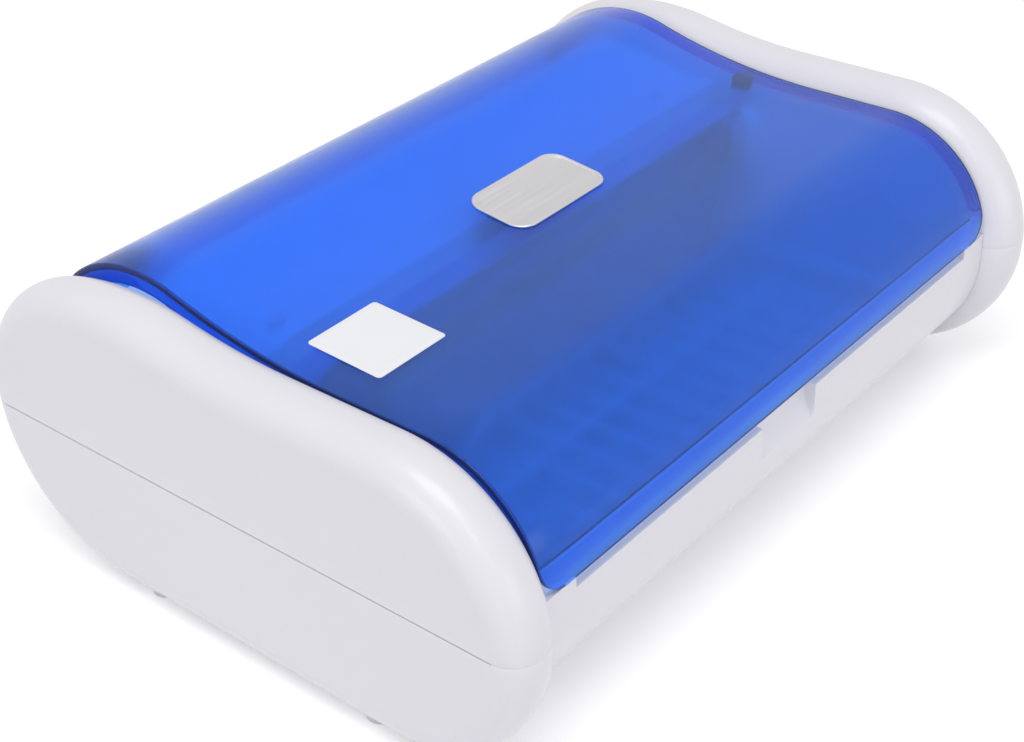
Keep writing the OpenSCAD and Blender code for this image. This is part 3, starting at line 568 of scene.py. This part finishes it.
def plate(name, node, slot, spec, steps):
    """Thin plate that follows the lid's curve."""
    cx, cy, length, width, radius = spec
    rings = [plate_ring(cx, cy, length, width, radius, inset, height) for inset, height in steps]
    bm = bmesh.new()
    verts = ring_skin(bm, rings, close=False)
    bm.faces.new(verts[0])
    middle = bm.verts.new(Vector((cx, cy, lid_top(cy) + steps[-1][1])) * MM)
    last = verts[-1]
    for i in range(len(last)):
        bm.faces.new((last[i], last[(i + 1) % len(last)], middle))
    obj = to_object(name, bm, slot)
    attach(obj, "lid")
    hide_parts(node)


plate("badge", "badge_plate", "badge_silver", BADGE, BADGE_STEPS)
plate("notice", "notice_label", "label_white", LABEL, LABEL_STEPS)


# Fine dark line along the tub's front lip, which shows through the lid: a black bar of painted shade,
# standing in for the shadow in the gap there

def bar(name, spans, slot):
    """Straight bar between two places along X, Y and Z."""
    xs, (y0, y1), (z0, z1) = spans
    bm = bmesh.new()
    ring_skin(bm, [[(x, y0, z0), (x, y1, z0), (x, y1, z1), (x, y0, z1)] for x in xs])
    soften(bm, GAP_SHADE_BAR_EDGE)
    obj = to_object(name, bm, slot)
    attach(obj, "case")


# A black bar painted in as the shade of the gap on the lip.
bar("lip_gap_painted_shade", GAP_SHADE_BAR, "black_plastic")


# Studio

FLOOR_SIZE, FLOOR_DROP = 12.0, 0.0002  # in metres
FLOOR_LIFT = 0.34  # brings the floor to white in the picture
WORLD_LIGHT, WORLD_SEEN = 0.60, 1.0
AIM = (0, 0, 0.05)


def sight_rays(tree):
    """1 for the rays that show the background: seen directly, mirrored, or through clear plastic."""
    path = tree.nodes.new("ShaderNodeLightPath")
    last = path.outputs["Is Camera Ray"]
    for kind in ("Is Glossy Ray", "Is Transmission Ray"):
        larger = tree.nodes.new("ShaderNodeMath")
        larger.operation = "MAXIMUM"
        tree.links.new(last, larger.inputs[0])
        tree.links.new(path.outputs[kind], larger.inputs[1])
        last = larger.outputs["Value"]
    return last


bpy.ops.mesh.primitive_plane_add(size=FLOOR_SIZE, location=(0, 0, -FLOOR_DROP))
floor = bpy.context.object
floor.name = "floor"
floor_mat, tree, shader = new_material("floor_white")
shader.inputs["Base Color"].default_value = (0.82, 0.82, 0.83, 1)
shader.inputs["Roughness"].default_value = 0.7
lift = tree.nodes.new("ShaderNodeEmission")
lift.inputs["Color"].default_value = (1, 1, 1, 1)
share = tree.nodes.new("ShaderNodeMath")
share.operation = "MULTIPLY"
share.inputs[1].default_value = FLOOR_LIFT
total = tree.nodes.new("ShaderNodeAddShader")
tree.links.new(sight_rays(tree), share.inputs[0])
tree.links.new(share.outputs["Value"], lift.inputs["Strength"])
tree.links.new(shader.outputs["BSDF"], total.inputs[0])
tree.links.new(lift.outputs["Emission"], total.inputs[1])
tree.links.new(total.outputs["Shader"], tree.nodes["Material Output"].inputs["Surface"])
floor.data.materials.append(floor_mat)

world = bpy.data.worlds.new("studio")
bpy.context.scene.world = world
world.use_nodes = True
wt = world.node_tree
light = wt.nodes["Background"]
light.inputs["Color"].default_value = (0.98, 0.97, 1.0, 1)
light.inputs["Strength"].default_value = WORLD_LIGHT
white = wt.nodes.new("ShaderNodeBackground")
white.inputs["Color"].default_value = (1, 1, 1, 1)
white.inputs["Strength"].default_value = WORLD_SEEN
mix = wt.nodes.new("ShaderNodeMixShader")
wt.links.new(sight_rays(wt), mix.inputs["Fac"])
wt.links.new(light.outputs["Background"], mix.inputs[1])
wt.links.new(white.outputs["Background"], mix.inputs[2])
wt.links.new(mix.outputs["Shader"], wt.nodes["World Output"].inputs["Surface"])


def area(name, place, size, power):
    """Area lamp turned to the object, with its place and size in metres."""
    lamp = bpy.data.lights.new(name, "AREA")
    lamp.shape = "RECTANGLE"
    lamp.size, lamp.size_y = size
    lamp.energy = power
    obj = bpy.data.objects.new(name, lamp)
    bpy.context.scene.collection.objects.link(obj)
    obj.location = place
    obj.rotation_euler = (Vector(AIM) - Vector(place)).to_track_quat("-Z", "Y").to_euler()


area("key", (-0.5, -0.4, 1.7), (1.1, 0.8), 11.0)
area("spark", (-0.9, -1.5, 1.5), (0.2, 0.2), 2.0)
area("left", (-2.0, 0.1, 0.7), (1.0, 0.8), 4.0)
area("front", (0.2, -2.2, 0.35), (1.4, 0.6), 4.0)


# Camera, fitted to the photograph

PHOTO_WIDTH, FOCAL_PIXELS, SENSOR = 1024.0, 1770.93, 36.0
CAMERA_PLACE = (-0.48753, -0.40644, 0.44821)

camera = bpy.data.cameras.new("camera")
camera.sensor_fit = "HORIZONTAL"
camera.sensor_width = SENSOR
camera.lens = FOCAL_PIXELS * SENSOR / PHOTO_WIDTH
camera.clip_start = 0.01
camera_obj = bpy.data.objects.new("camera", camera)
bpy.context.scene.collection.objects.link(camera_obj)
right = Vector((0.63487, -0.77163, -0.03911))
up = Vector((0.44104, 0.32038, 0.83836))
behind = Vector((-0.63437, -0.5495, 0.54371))
spin = Matrix((right, up, behind)).transposed().to_4x4()
camera_obj.matrix_world = Matrix.Translation(CAMERA_PLACE) @ spin
bpy.context.scene.camera = camera_obj
bpy.context.scene.view_settings.view_transform = "Standard"
